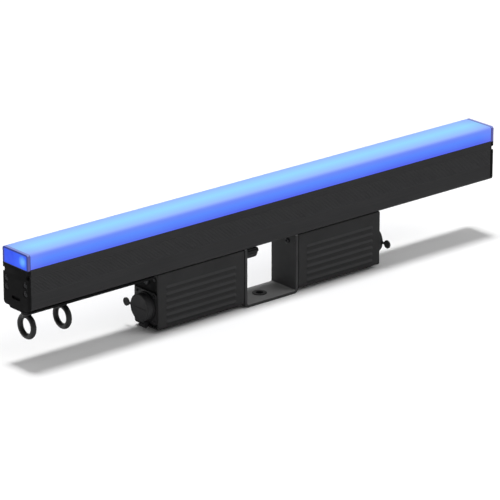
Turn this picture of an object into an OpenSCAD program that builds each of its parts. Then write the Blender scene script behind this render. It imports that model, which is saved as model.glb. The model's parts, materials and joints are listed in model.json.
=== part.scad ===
// LED strip batten: a long luminaire with a milky cover, two electronics cases and a yoke.
// +X runs along the batten and +Z is up. The origin is the centre of the yoke's underside.
// All sizes are in millimetres.

/* [Body] */
// Overall length, over both end plates
body_l = 1000; // [900:10:1200]
// Width of the body
body_w = 64; // [60:1:72]
// Height of the body with its cover
body_h = 95; // [90:1:110]
// Thickness of the body's side walls
side_wall = 3; // [2.5:0.1:3.5]
// Thickness of the body's floor
floor_wall = 4; // [3:0.5:5]
// Radius of the body's lower edges
lower_edge_r = 6; // [3:0.5:8]

/* [Ribbed band] */
// Height of the band's lower edge above the body's underside
band_low = 28.7; // [20:0.1:32]
// Distance from one groove to the next
groove_pitch = 2.36; // [2:0.02:3]
// Number of grooves on each side
groove_count = 12; // [6:1:12]
// Radius of a groove
groove_r = 0.9; // [0.5:0.1:0.9]

/* [Cover] */
// Height of the milky cover's sides
cover_h = 25.5; // [20:0.5:30]
// Thickness of the milky cover
cover_t = 2.8; // [2:0.1:3]
// Radius of the cover's upper edges
cover_edge_r = 4; // [3:0.5:6]

/* [Light source] */
// Number of light emitters along the batten
emitter_count = 50; // [20:1:60]
// Width of an emitter package
emitter_w = 5; // [3:0.5:5.5]

/* [End plates] */
// Thickness of an end plate
end_plate_t = 5; // [4:0.5:6]
// Thickness of the gasket behind it
end_gasket_t = 1; // [0.8:0.1:1.5]
// Width of the dark rim round the end window
window_rim = 3; // [2.5:0.1:4]
// Distance of the end screws from the centre plane
end_screw_y = 24.5; // [23:0.1:25]
// Height of the lower pair of end screws above the body's underside
end_screw_low = 29.3; // [25:0.1:32]
// Height of the upper pair of end screws above the body's underside
end_screw_high = 43.5; // [40:0.1:46]
// Depth of the recess that holds an end screw's head and its cup washer
end_recess = 2.4; // [2:0.1:3]

/* [Cases] */
// Distance from the centre to a case's inner face
case_start = 59; // [58.5:0.1:62]
// Distance from the centre to a case's outer rim
case_end = 240; // [230:1:260]
// Width of a case between its ribs
case_w = 61; // [58:0.5:62]
// Wall of a case
case_wall = 3; // [2.5:0.1:3.5]
// Number of ribs on each side of a case
rib_count = 6; // [4:1:6]
// Distance from one rib to the next
rib_pitch = 11.8; // [10:0.1:12]
// Radius of a rib
rib_r = 3.6; // [3:0.1:4]
// How far a rib stands out from the case
rib_proud = 1.2; // [0.8:0.1:1.6]

/* [Connectors] */
// Height of the connectors' axis above the ground
socket_z = 41; // [38:0.5:44]
// Outer radius of a connector's barrel
barrel_r = 20; // [18:0.5:20]
// Outer radius of a connector's cap
cap_r = 23; // [22:0.5:23]
// Distance from the centre to a cap's outer face
cap_face = 255; // [254.5:0.1:255.4]
// Height of the cap hinge's pin above the ground
cap_pin_z = 10; // [9.5:0.1:10.5]

/* [Yoke] */
// Clear width between the yoke's legs
yoke_gap = 105; // [90:1:105]
// Thickness of the yoke's plate
yoke_t = 5; // [4:0.5:5]
// Width of the yoke along the batten's depth
yoke_w = 62; // [50:1:64]
// Height from the ground to the body's underside
yoke_h = 101; // [100:0.5:102]
// Diameter of the hole for the clamp's bolt
clamp_hole_d = 13; // [10:0.5:14]

/* [Rigging] */
// Distance of the outer eyebolt from the left end
eyebolt_inset = 20; // [18:1:25]
// Distance between the two eyebolts
eyebolt_spacing = 70; // [60:1:80]
// Outer diameter of an eyebolt's ring
ring_d = 44; // [40:1:46]
// Diameter of the ring's bar
ring_bar_d = 9.5; // [8:0.5:10]
// Thickness of the rigging plate
rigging_t = 3.5; // [2:0.5:4]

/* [Hidden] */
$fn = 48;

eps = 0.01;
// Clearance between a turning shaft and its hole
running_gap = 0.08;

// Heights above the ground
body_z = yoke_h;
cover_z = body_z + body_h - cover_h;
tray_z = cover_z - 4.5;
board_t = 1.6;

// Lengths along the batten
half_l = body_l / 2;
profile_half = half_l - end_plate_t - end_gasket_t;
half_w = body_w / 2;

// Screw ports inside the body
end_screw_heights = [end_screw_low, end_screw_high];
port_r = 4.5;
port_bore_r = 2.1;

// End plates
window_low = cover_z - 1;
window_high = body_z + body_h - window_rim;
notch_z = body_z + 57.2;
notch_h = 6.5;
notch_depth = 4;
washer_r = 5.5;
washer_h = 0.8;
slot_r = 2.8;
slot_reach = 8;
slot_depth = 3;
slot_z = body_z + 16;

// Screws of the light boards, five along each board on both sides
led_screw_y = 21;
led_screw_x = [for (side = [-1, 1], i = [0 : 4]) side * (20 + i * 112)];

// Holes for the wiring
wiring_x = 150;
wiring_hole_r = 9;
tray_hole_r = 6.5;

// Cases
case_low = 6;
case_top = body_z - 1;
case_screw_y = 24.5;
case_screw_x = [case_start + 10, case_end - 14];
inner_wall = 4;
plate_x = case_end - 5;
plate_t = 3.5;
rib_start = case_start + 16;
rib_end = case_end - 15;
top_rib_z = body_z - 25.9;

// Socket plate and its screws, which end in bosses on the case's side walls
plate_screw_r = 1.6;
lug_r = 3.6;
// The bosses stop short of the long case screws
lug_l = 6;
vent_z = 83;
flange_w = 54;
flange_screw = 21.5;
plate_screw_y = 20;
plate_screw_z = 90;
// Screws on one side of the plate, as distances from the centre plane and heights
plate_screw_pos = [[flange_screw, socket_z - flange_screw], [flange_screw, socket_z + flange_screw],
    [plate_screw_y, plate_screw_z]];

// Boards in the cases
board_low = case_low + case_wall + 6;
board_x = [case_start + 20, case_end - 34];
post_inset = 5;
post_y = 19;

// Wiring
loom_r = 2.8;
loom_y = 3.2;
loom_low = 70;
loom_tail = 24;

// Connectors, as distances from the centre
flange_x = plate_x + plate_t;
flange_t = 3;
collar_x = flange_x + flange_t;
collar_r = 24.5;
barrel_end = collar_x + 10.5;
cap_back = collar_x + 3.3;
cap_inner_r = barrel_r + 0.6;
cap_pin_x = collar_x + 5;
cap_pin_r = 1.5;
knuckle_r = 4;
knuckle_half = 4.2;
ear_t = 3.5;
tab_y = 36;
tab_r = 7;
// Contact places round the insert, as angles and radii
contact_ring = [for (a = [90, 210, 330]) [a, 8.5]];
signal_ring = [for (a = [30, 150, 270]) [a, 10.5]];

// Yoke fasteners
grip_y = -10;
grip_z = body_z - 13.5;
dowel_y = -27;
dowel_r = 1.5;
dowel_z = body_z - 11;
leg_in = yoke_gap / 2;
leg_out = leg_in + yoke_t;
stud_r = 4;
bolt_r = 3;
bush_r = 11;
washer_t = 1.5;
knob_l = 30;
knob_nose_l = 7;
knob_r = 10.5;
flute_count = 12;

// Rigging
eyebolt_x = [-half_l + eyebolt_inset, -half_l + eyebolt_inset + eyebolt_spacing];
shank_r = 5;
ring_z = body_z - 35;
rigging_z = body_z - rigging_t;
nut_h = 8;
// The plate covers the underside up to the left case
rigging_l = half_l - case_end - 6;
rigging_w = body_w - 2;
rigging_cut_x = 8;
rigging_cut_y = 16;
rigging_screw_x = [for (x = [55, 145, 235]) x - half_l];
bar_t = 8;

// ---- Shapes that repeat ----

// Extrudes an outline drawn in the YZ plane from x0 to x1
module along_x(x0, x1) {
    translate([x0, 0, 0]) rotate([90, 0, 90]) linear_extrude(x1 - x0) children();
}

// Extrudes an outline drawn in the XY plane from z0 to z1
module along_z(z0, z1) {
    translate([0, 0, z0]) linear_extrude(z1 - z0) children();
}

module rod_x(x0, x1, r, y = 0, z = 0) {
    translate([x0, y, z]) rotate([0, 90, 0]) cylinder(r = r, h = x1 - x0);
}

module rod_y(y0, y1, r, x = 0, z = 0) {
    translate([x, y0, z]) rotate([-90, 0, 0]) cylinder(r = r, h = y1 - y0);
}

module rod_z(z0, z1, r, x = 0, y = 0) {
    translate([x, y, z0]) cylinder(r = r, h = z1 - z0);
}

// Upright outline from low to high, with one radius below and one above
module slab(w, low, high, r_low, r_high) {
    translate([-w / 2, low + r_low]) square([w, high - low - r_low - r_high]);
    for (s = [-1, 1]) {
        translate([s * (w / 2 - r_low), low + r_low]) circle(r = r_low);
        translate([s * (w / 2 - r_high), high - r_high]) circle(r = r_high);
    }
    translate([-w / 2 + r_low, low]) square([w - 2 * r_low, r_low + eps]);
    translate([-w / 2 + r_high, high - r_high - eps]) square([w - 2 * r_high, r_high + eps]);
}

// Socket-head screw: the head stands on z = 0 and the shank hangs below it
module screw(r, length, head_r, head_h) {
    difference() {
        union() {
            cylinder(r = head_r, h = head_h);
            translate([0, 0, -length]) cylinder(r = r, h = length + eps);
        }
        translate([0, 0, head_h * 0.4]) cylinder(r = r * 0.9, h = head_h, $fn = 6);
    }
}

// Turns a screw's head towards +X
module facing_x(x, y, z) {
    translate([x, y, z]) rotate([0, 90, 0]) children();
}

// Turns a screw's head towards the ground
module facing_down(x, y, z) {
    translate([x, y, z]) rotate([180, 0, 0]) children();
}

// Puts a right-hand part on the left by half a turn about the vertical axis
module on_left() {
    rotate([0, 0, 180]) children();
}

// ---- Body and light source ----

// Outline of the ribbed grooves on both sides
module grooves() {
    for (i = [0 : groove_count - 1], s = [-1, 1])
        translate([s * half_w, body_z + band_low + (i + 0.5) * groove_pitch])
            circle(r = groove_r, $fn = 24);
}

// Rings of material that take the end screws, joined to the side walls
module screw_ports() {
    for (s = [-1, 1], h = end_screw_heights) {
        translate([s * end_screw_y, body_z + h]) circle(r = port_r);
        translate([s > 0 ? end_screw_y : -half_w + side_wall - eps, body_z + h - 2])
            square([half_w - side_wall - end_screw_y + eps, 4]);
    }
}

module body_outline() {
    difference() {
        slab(body_w, body_z, cover_z + 1, lower_edge_r, eps);
        translate([-body_w, cover_z]) square([2 * body_w, 5]);
    }
}

module body_extrusion() {
    color("#2b2b2d") difference() {
        along_x(-profile_half, profile_half) difference() {
            union() {
                difference() {
                    body_outline();
                    slab(body_w - 2 * side_wall, body_z + floor_wall, tray_z - 3, 3, 1);
                    translate([-half_w + side_wall, tray_z]) square([body_w - 2 * side_wall, 10]);
                    grooves();
                }
                screw_ports();
            }
            for (s = [-1, 1], h = end_screw_heights)
                translate([s * end_screw_y, body_z + h]) circle(r = port_bore_r);
        }
        for (s = [-1, 1]) {
            rod_z(body_z - 1, body_z + floor_wall + 1, wiring_hole_r, s * wiring_x);
            rod_z(tray_z - 4, tray_z + 1, tray_hole_r, s * wiring_x);
            for (x = case_screw_x, side = [-1, 1])
                rod_z(body_z - 1, body_z + floor_wall + 1, 2.05, s * x, side * case_screw_y);
        }
        for (x = eyebolt_x)
            rod_z(body_z - 1, body_z + floor_wall + 1, shank_r + 0.5, x);
        for (x = rigging_screw_x)
            rod_z(body_z - 1, body_z + floor_wall + 1, 2.3, x);
        for (x = led_screw_x, s = [-1, 1])
            rod_z(tray_z - 4, tray_z + 1, 1.3, x, s * led_screw_y);
    }
}

module diffuser() {
    color("#9cc4ff") along_x(-profile_half, profile_half) {
        difference() {
            slab(body_w, cover_z, body_z + body_h, eps, cover_edge_r);
            translate([0, -1]) slab(body_w - 2 * cover_t, cover_z, body_z + body_h - cover_t + 1,
                eps, cover_edge_r - 1);
        }
        // Tongues that drop inside the body's side walls
        for (s = [-1, 1])
            translate([s > 0 ? half_w - side_wall - 2 : -half_w + side_wall + 0.2, cover_z - 3])
                square([1.8, 6]);
        for (s = [-1, 1])
            translate([s > 0 ? half_w - side_wall - 1 : -half_w + cover_t - eps, cover_z])
                square([side_wall - cover_t + 1 + eps, 3]);
    }
}

module led_board(x0, x1) {
    difference() {
        translate([x0, -25, tray_z]) cube([x1 - x0, 50, board_t]);
        for (s = [-1, 1])
            rod_z(tray_z - 1, tray_z + board_t + 1, tray_hole_r, s * wiring_x);
        for (x = led_screw_x, s = [-1, 1])
            rod_z(tray_z - 1, tray_z + board_t + 1, 1.7, x, s * led_screw_y);
    }
}

module led_board_left() {
    color("#e8ebe6") led_board(-profile_half + 1, -0.5);
}

module led_board_right() {
    color("#e8ebe6") led_board(0.5, profile_half - 1);
}

module led_emitters() {
    pitch = (body_l - 20) / emitter_count;
    color("#f4f0c8") for (i = [0 : emitter_count - 1])
        translate([(i - (emitter_count - 1) / 2) * pitch - emitter_w / 2, -emitter_w / 2, tray_z + board_t])
            cube([emitter_w, emitter_w, 1.5]);
}

module led_board_screws() {
    color("#b9bcc0") for (x = led_screw_x, s = [-1, 1])
        translate([x, s * led_screw_y, tray_z + board_t]) screw(1.25, 4, 2.6, 1.2);
}

// ---- End plates, drawn for the right end ----

module end_outline() {
    slab(body_w, body_z, body_z + body_h, lower_edge_r, cover_edge_r);
}

module window_outline() {
    slab(body_w - 2 * window_rim, window_low, window_high, 1.5, 2);
}

module end_gasket() {
    along_x(profile_half, profile_half + end_gasket_t) difference() {
        gasket_outline();
        window_outline();
        slab(body_w - 20, body_z + 8, cover_z - 8, 3, 3);
        for (s = [-1, 1], h = end_screw_heights)
            translate([s * end_screw_y, body_z + h]) circle(r = 2.4);
    }
}

// The gasket is held back a little inside the body's outline
module gasket_outline() {
    slab(body_w - 1.2, body_z + 0.6, body_z + body_h - 0.6, lower_edge_r, cover_edge_r);
}

module end_plate() {
    difference() {
        along_x(half_l - end_plate_t, half_l) difference() {
            end_outline();
            window_outline();
            // Notches in both long edges, where a joining clip hooks in
            for (s = [-1, 1])
                translate([s * (half_w + 0.5), notch_z])
                    square([2 * notch_depth + 1, notch_h], center = true);
        }
        for (s = [-1, 1], h = end_screw_heights) {
            rod_x(half_l - end_plate_t - 1, half_l + 1, 2.4, s * end_screw_y, body_z + h);
            rod_x(half_l - end_recess, half_l + 1, washer_r, s * end_screw_y, body_z + h);
        }
        // Blind slot with round ends
        for (s = [-1, 1])
            rod_x(half_l - slot_depth, half_l + 1, slot_r, s * slot_reach, slot_z);
        translate([half_l - slot_depth, -slot_reach, slot_z - slot_r])
            cube([slot_depth + 1, 2 * slot_reach, 2 * slot_r]);
    }
}

module end_window() {
    along_x(half_l - end_plate_t, half_l - 1) window_outline();
}

module end_screws() {
    head_h = end_recess - washer_h;
    for (s = [-1, 1], h = end_screw_heights)
        facing_x(half_l - head_h, s * end_screw_y, body_z + h) screw(2, 22, 3.6, head_h);
}

module end_gasket_left() {
    color("#151515") on_left() end_gasket();
}

module end_gasket_right() {
    color("#151515") end_gasket();
}

module end_plate_left() {
    color("#1b1b1d") on_left() end_plate();
}

module end_plate_right() {
    color("#1b1b1d") end_plate();
}

module end_window_left() {
    color("#4668ff") on_left() end_window();
}

module end_window_right() {
    color("#4668ff") end_window();
}

module end_screws_left() {
    color("#4a4a4c") on_left() end_screws();
}

module end_screws_right() {
    color("#4a4a4c") end_screws();
}

module end_washers() {
    color("#3a3a3c") for (turn = [0, 180], s = [-1, 1], h = end_screw_heights)
        rotate([0, 0, turn]) translate([half_l - end_recess, 0, 0]) difference() {
            rod_x(0, washer_h, washer_r, s * end_screw_y, body_z + h);
            rod_x(-1, washer_h + 1, 2.3, s * end_screw_y, body_z + h);
        }
}

// ---- Rigging points under the left end ----

// Plate outline, with its outer corners cut off
module rigging_outline() {
    side = rigging_w / 2;
    polygon([[0, side - rigging_cut_y], [rigging_cut_x, side], [rigging_l, side],
        [rigging_l, -side], [rigging_cut_x, -side], [0, rigging_cut_y - side]]);
}

module rigging_plate() {
    color("#222224") difference() {
        along_z(rigging_z, body_z) translate([-half_l, 0]) rigging_outline();
        for (x = eyebolt_x)
            rod_z(rigging_z - 1, body_z + 1, shank_r + running_gap, x);
        for (x = rigging_screw_x)
            rod_z(rigging_z - 1, body_z + 1, 2.3, x);
    }
}

module rigging_screws() {
    color("#8d8f92") for (x = rigging_screw_x)
        facing_down(x, 0, rigging_z) screw(2, rigging_t + floor_wall + 5, 3.8, 2.4);
}

module backing_bar() {
    bar_z = body_z + floor_wall;
    color("#8a8d90") difference() {
        translate([-profile_half + 1, -12, bar_z]) cube([rigging_l - 8, 24, bar_t]);
        for (x = eyebolt_x)
            rod_z(bar_z - 1, bar_z + bar_t + 1, shank_r + running_gap, x);
        for (x = rigging_screw_x)
            rod_z(bar_z - 1, bar_z + bar_t + 1, 2.05, x);
    }
}

module eyebolt(x) {
    collar_top = rigging_z - nut_h - 0.1;
    translate([x, 0, ring_z]) rotate([0, 90, 0]) rotate_extrude()
        translate([(ring_d - ring_bar_d) / 2, 0]) circle(d = ring_bar_d);
    rod_z(ring_z + ring_d / 2 - 4, collar_top, 9, x);
    rod_z(collar_top - 1, body_z + floor_wall + bar_t + 4, shank_r, x);
}

module eyebolt_outer() {
    color("#202022") eyebolt(eyebolt_x[0]);
}

module eyebolt_inner() {
    color("#202022") eyebolt(eyebolt_x[1]);
}

module eyebolt_nuts() {
    color("#3c3d40") for (x = eyebolt_x) difference() {
        translate([x, 0, rigging_z - nut_h]) cylinder(r = 9.8, h = nut_h, $fn = 6);
        rod_z(rigging_z - nut_h - 1, rigging_z + 1, shank_r + running_gap, x);
    }
}

// ---- Electronics cases, drawn for the right side ----

// One rounded rib with ball ends, turned about its own axis
module rib(y, z) {
    length = rib_end - rib_start;
    translate([rib_start, y, z]) rotate([0, 90, 0]) rotate_extrude() intersection() {
        union() {
            translate([0, rib_r]) square([rib_r, length - 2 * rib_r]);
            translate([0, rib_r]) circle(r = rib_r);
            translate([0, length - rib_r]) circle(r = rib_r);
        }
        square([rib_r, length]);
    }
}

// Boss on the side wall that takes a screw through the socket plate
module lug(side, y, z) {
    web = case_w / 2 - case_wall - y + eps;
    rod_x(plate_x - lug_l, plate_x, lug_r, side * y, z);
    translate([plate_x - lug_l, side > 0 ? y : -y - web, z - 2]) cube([lug_l, web, 4]);
}

// side is 1 for the right case and -1 for the left; hole_r is the hole for the yoke's fastener
module case_shell(side, hole_r) {
    rib_y = case_w / 2 + rib_proud - rib_r;
    cavity_w = case_w - 2 * case_wall;
    difference() {
        union() {
            along_x(case_start, case_end) slab(case_w, case_low, case_top, 4, eps);
            for (i = [0 : rib_count - 1], s = [-1, 1])
                rib(s * rib_y, top_rib_z - i * rib_pitch);
        }
        // Room for the electronics, open at the top and at the outer end
        translate([case_start + inner_wall, -cavity_w / 2, case_low + case_wall])
            cube([plate_x - case_start - inner_wall + eps, cavity_w, case_top]);
        along_x(plate_x, case_end + 1) slab(cavity_w, case_low + case_wall, case_top - 3, 3, 7);
        rod_x(case_start - 1, case_start + inner_wall + 1, hole_r, side * grip_y, grip_z);
        rod_x(case_start - 1, case_start + inner_wall + 1, dowel_r, side * dowel_y, dowel_z);
        for (x = case_screw_x, s = [-1, 1]) {
            rod_z(case_low - 1, case_top, 2.1, x, s * case_screw_y);
            rod_z(case_low - 1, case_low + 1.8, 4.1, x, s * case_screw_y);
        }
    }
    // Corner columns for the long screws
    difference() {
        for (x = case_screw_x, s = [-1, 1])
            rod_z(case_low + 2.5, case_top, 4, x, s * case_screw_y);
        for (x = case_screw_x, s = [-1, 1])
            rod_z(case_low, case_top + 1, 2.1, x, s * case_screw_y);
    }
    // Bosses for the connector's screws and the plate's own screws
    difference() {
        for (s = [-1, 1], p = plate_screw_pos)
            lug(s, p[0], p[1]);
        for (s = [-1, 1], p = plate_screw_pos)
            rod_x(plate_x - lug_l - 1, plate_x + 1, plate_screw_r + 0.1, s * p[0], p[1]);
    }
}

module case_left() {
    color("#2e2e30") on_left() case_shell(-1, stud_r + running_gap);
}

module case_right() {
    color("#2e2e30") case_shell(1, bolt_r + running_gap);
}

module case_gasket() {
    along_z(case_top, body_z) difference() {
        translate([case_start + 1, -case_w / 2 + 0.6]) square([case_end - case_start - 2, case_w - 1.2]);
        translate([case_start + inner_wall + 1, -case_w / 2 + 12])
            square([case_end - case_start - 16, case_w - 24]);
        for (x = case_screw_x, s = [-1, 1])
            translate([x, s * case_screw_y]) circle(r = 2.3);
    }
}

module case_gasket_left() {
    color("#101010") on_left() case_gasket();
}

module case_gasket_right() {
    color("#101010") case_gasket();
}

module case_screws() {
    color("#4c4c50") for (turn = [0, 180], x = case_screw_x, s = [-1, 1])
        rotate([0, 0, turn]) facing_down(x, s * case_screw_y, case_low + 1.8)
            screw(2, body_z + floor_wall - case_low - 1.8, 3.8, 1.6);
}

module socket_plate() {
    difference() {
        along_x(plate_x, plate_x + plate_t)
            slab(case_w - 2 * case_wall, case_low + case_wall, case_top - 3, 3, 7);
        rod_x(plate_x - 1, plate_x + plate_t + 1, barrel_r - 2, 0, socket_z);
        rod_x(plate_x - 1, plate_x + plate_t + 1, 4.1, 0, vent_z);
        for (s = [-1, 1], p = plate_screw_pos)
            rod_x(plate_x - 1, plate_x + plate_t + 1, plate_screw_r + 0.1, s * p[0], p[1]);
    }
}

module socket_plate_left() {
    color("#262628") on_left() socket_plate();
}

module socket_plate_right() {
    color("#262628") socket_plate();
}

module plate_screws() {
    color("#6d6e72") for (turn = [0, 180], s = [-1, 1])
        rotate([0, 0, turn]) facing_x(plate_x + plate_t, s * plate_screw_y, plate_screw_z)
            screw(plate_screw_r, plate_t + lug_l - 1, 2.8, 1.3);
}

// ---- Connectors, drawn for the right side ----

module connector() {
    difference() {
        union() {
            along_x(flange_x, collar_x)
                slab(flange_w, socket_z - flange_w / 2, socket_z + flange_w / 2, 5, 5);
            rod_x(collar_x - eps, collar_x + 3, collar_r, 0, socket_z);
            rod_x(plate_x - 6, barrel_end, barrel_r - 2.2, 0, socket_z);
            rod_x(collar_x, barrel_end, barrel_r, 0, socket_z);
            // Ears of the cap's hinge
            for (s = [-1, 1]) {
                y0 = s > 0 ? knuckle_half + 0.3 : -knuckle_half - 0.3 - ear_t;
                rod_y(y0, y0 + ear_t, knuckle_r, cap_pin_x, cap_pin_z);
                translate([case_end + 0.3, y0, cap_pin_z])
                    cube([cap_pin_x - case_end - 0.3, ear_t, 7]);
            }
        }
        rod_x(plate_x - 7, barrel_end + 1, barrel_r - 4, 0, socket_z);
        for (s = [-1, 1], t = [-1, 1])
            rod_x(flange_x - 1, collar_x + 1, plate_screw_r + 0.1, s * flange_screw,
                socket_z + t * flange_screw);
        rod_y(-20, 20, cap_pin_r, cap_pin_x, cap_pin_z);
    }
}

module connector_left() {
    color("#18181a") on_left() connector();
}

module connector_right() {
    color("#18181a") connector();
}

module insert() {
    difference() {
        rod_x(plate_x - 4, barrel_end - 1.5, barrel_r - 4, 0, socket_z);
        for (c = contact_ring)
            rod_x(barrel_end - 10, barrel_end, 2, c[1] * cos(c[0]), socket_z + c[1] * sin(c[0]));
        for (c = signal_ring)
            rod_x(barrel_end - 8, barrel_end, 1, c[1] * cos(c[0]), socket_z + c[1] * sin(c[0]));
        // Keyway
        translate([barrel_end - 4, -1.5, socket_z + barrel_r - 6.5]) cube([5, 3, 4]);
    }
}

module insert_left() {
    color("#d8d8d4") on_left() insert();
}

module insert_right() {
    color("#d8d8d4") insert();
}

module contacts() {
    color("#c9a24a") for (turn = [0, 180]) rotate([0, 0, turn]) {
        for (c = contact_ring) {
            y = c[1] * cos(c[0]);
            z = socket_z + c[1] * sin(c[0]);
            difference() {
                rod_x(barrel_end - 10, barrel_end - 2, 2, y, z);
                rod_x(barrel_end - 8, barrel_end, 1.3, y, z);
            }
        }
        for (c = signal_ring)
            rod_x(barrel_end - 8, barrel_end - 2, 1, c[1] * cos(c[0]), socket_z + c[1] * sin(c[0]));
    }
}

module connector_screws() {
    color("#85878b") for (turn = [0, 180], s = [-1, 1], t = [-1, 1])
        rotate([0, 0, turn]) facing_x(collar_x, s * flange_screw, socket_z + t * flange_screw)
            screw(plate_screw_r, flange_t + plate_t + lug_l - 1, 2.8, 1.8);
}

module cap() {
    difference() {
        union() {
            rod_x(cap_back, cap_face - 1.5, cap_r, 0, socket_z);
            translate([cap_face - 1.5, 0, socket_z]) rotate([0, 90, 0])
                cylinder(r1 = cap_r, r2 = cap_r - 1.5, h = 1.5);
            // Pull tab on a thin neck
            rod_x(cap_face - 4.5, cap_face - 1.5, tab_r, -tab_y, socket_z);
            translate([cap_face - 4.5, -tab_y, socket_z - 2]) cube([3, tab_y - cap_r + 3, 4]);
            // Arm and knuckle of the hinge
            translate([cap_back, -knuckle_half, cap_pin_z])
                cube([5.5, 2 * knuckle_half, socket_z - cap_r + 3 - cap_pin_z]);
            rod_y(-knuckle_half, knuckle_half, knuckle_r, cap_pin_x, cap_pin_z);
        }
        rod_x(cap_back - 1, barrel_end + 0.6, cap_inner_r, 0, socket_z);
        rod_y(-knuckle_half - 1, knuckle_half + 1, cap_pin_r + running_gap, cap_pin_x, cap_pin_z);
        // Shallow line across the face
        translate([cap_face - 0.6, -15, socket_z - 0.8]) cube([2, 30, 1.6]);
    }
}

module cap_left() {
    color("#1d1d1f") on_left() cap();
}

module cap_right() {
    color("#1d1d1f") cap();
}

// Flat ring inside the cap that seals on the barrel's rim
module cap_seal() {
    difference() {
        rod_x(barrel_end + 0.2, barrel_end + 0.6, barrel_r - 0.4, 0, socket_z);
        rod_x(barrel_end - 1, barrel_end + 1, barrel_r - 3.6, 0, socket_z);
    }
}

module cap_seal_left() {
    color("#5a2f2a") on_left() cap_seal();
}

module cap_seal_right() {
    color("#5a2f2a") cap_seal();
}

module cap_pins() {
    reach = knuckle_half + 0.3 + ear_t;
    color("#a9abae") for (turn = [0, 180])
        rotate([0, 0, turn]) rod_y(-reach, reach, cap_pin_r, cap_pin_x, cap_pin_z);
}

module vents() {
    color("#101012") for (turn = [0, 180]) rotate([0, 0, turn]) {
        rod_x(plate_x - 3, plate_x + plate_t, 4, 0, vent_z);
        translate([plate_x + plate_t, 0, vent_z]) rotate([0, 90, 0]) cylinder(r = 6, h = 2.2);
    }
}

// ---- Inside the cases ----

module case_board() {
    difference() {
        translate([board_x[0], -24, board_low]) cube([board_x[1] - board_x[0], 48, board_t]);
        for (x = [board_x[0] + post_inset, board_x[1] - post_inset], s = [-1, 1])
            rod_z(board_low - 1, board_low + board_t + 1, 1.6, x, s * post_y);
    }
}

module psu_board() {
    color("#1f6b3a") on_left() case_board();
}

module driver_board() {
    color("#1f4f7a") case_board();
}

module psu_parts() {
    deck = board_low + board_t;
    color("#c9b06a") on_left() {
        // Transformer, input filter and output choke
        translate([board_x[0] + 45, -17, deck]) cube([34, 34, 28]);
        translate([board_x[1] - 32, -14, deck]) cube([18, 28, 20]);
        rod_z(deck, deck + 12, 9, board_x[0] + 22, 10);
        // Reservoir capacitors
        for (i = [0 : 2])
            rod_z(deck, deck + 26, 6, board_x[0] + 16 + 14 * i, -14);
        // Heat sink with three fins
        translate([board_x[0] + 12, 21, deck]) cube([60, 2.5, 30]);
    }
}

module driver_parts() {
    deck = board_low + board_t;
    color("#3a3a3a") {
        // Processor and line drivers
        translate([board_x[0] + 40, -8, deck]) cube([16, 16, 1.6]);
        for (i = [0 : 3])
            translate([board_x[0] + 70 + 12 * i, -4, deck]) cube([6, 8, 1.5]);
        // Terminal blocks
        for (s = [-1, 1])
            translate([board_x[0] + 12, s * 14 - 6, deck]) cube([10, 12, 12]);
        for (i = [0 : 1])
            rod_z(deck, deck + 16, 5, board_x[1] - 16, 10 - 20 * i);
    }
}

module standoffs() {
    posts = [board_x[0] + post_inset, board_x[1] - post_inset];
    color("#c7c9cc") for (turn = [0, 180], x = posts, s = [-1, 1])
        rotate([0, 0, turn]) {
            rod_z(case_low + case_wall, board_low, 3, x, s * post_y);
            rod_z(board_low, board_low + board_t, 1.5, x, s * post_y);
            rod_z(board_low + board_t, board_low + board_t + 1.8, 2.8, x, s * post_y);
        }
}

// ---- Wiring, as straight runs with ball corners ----

// Feed from a case up to its light board; side is 1 on the right and -1 on the left
module loom_up(side) {
    x = side * wiring_x;
    tail = side > 0 ? x : x - loom_tail;
    rod_z(loom_low, tray_z + 0.8, loom_r, x, loom_y);
    translate([x, loom_y, loom_low]) sphere(r = loom_r);
    rod_x(tail, tail + loom_tail, loom_r, loom_y, loom_low);
}

module loom_left() {
    color("#8c1f1f") loom_up(-1);
}

module loom_right() {
    color("#8c1f1f") loom_up(1);
}

// Link between the two cases, through the body's lower chamber
module loom_link() {
    run_z = body_z + floor_wall + 12;
    color("#24407a") {
        for (s = [-1, 1]) {
            rod_z(loom_low, run_z, loom_r, s * wiring_x, -loom_y);
            translate([s * wiring_x, -loom_y, run_z]) sphere(r = loom_r);
        }
        rod_x(-wiring_x, wiring_x, loom_r, -loom_y, run_z);
    }
}

module grommets() {
    color("#0d0d0d") for (s = [-1, 1]) difference() {
        union() {
            rod_z(body_z, body_z + floor_wall, wiring_hole_r, s * wiring_x);
            rod_z(body_z + floor_wall, body_z + floor_wall + 1.5, wiring_hole_r + 2, s * wiring_x);
        }
        rod_z(body_z - 1, body_z + floor_wall + 3, wiring_hole_r - 2, s * wiring_x);
    }
}

// ---- Yoke ----

module yoke_outline() {
    bend_r = 8;
    difference() {
        slab(2 * leg_out, 0, yoke_h, bend_r, eps);
        slab(yoke_gap, yoke_t, yoke_h + 10, bend_r - yoke_t, eps);
    }
}

module yoke() {
    color("#242426") difference() {
        translate([0, yoke_w / 2, 0]) rotate([90, 0, 0]) linear_extrude(yoke_w) yoke_outline();
        rod_z(-1, yoke_t + 1, bush_r);
        rod_x(-leg_out - 1, -leg_in + 1, stud_r + running_gap, grip_y, grip_z);
        rod_x(leg_in - 1, leg_out + 1, bolt_r + running_gap, grip_y, grip_z);
        for (s = [-1, 1])
            rod_x(s * (leg_in + yoke_t / 2) - yoke_t, s * (leg_in + yoke_t / 2) + yoke_t,
                dowel_r, dowel_y, dowel_z);
    }
}

module yoke_bush() {
    color("#151516") difference() {
        union() {
            rod_z(0, yoke_t, bush_r);
            rod_z(yoke_t, yoke_t + 1, bush_r + 1.3);
        }
        rod_z(-1, yoke_t + 2, clamp_hole_d / 2);
    }
}

module yoke_bolt() {
    color("#303033") translate([leg_in, grip_y, grip_z]) rotate([0, -90, 0])
        screw(bolt_r, yoke_t + 8, 5, 3);
}

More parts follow.
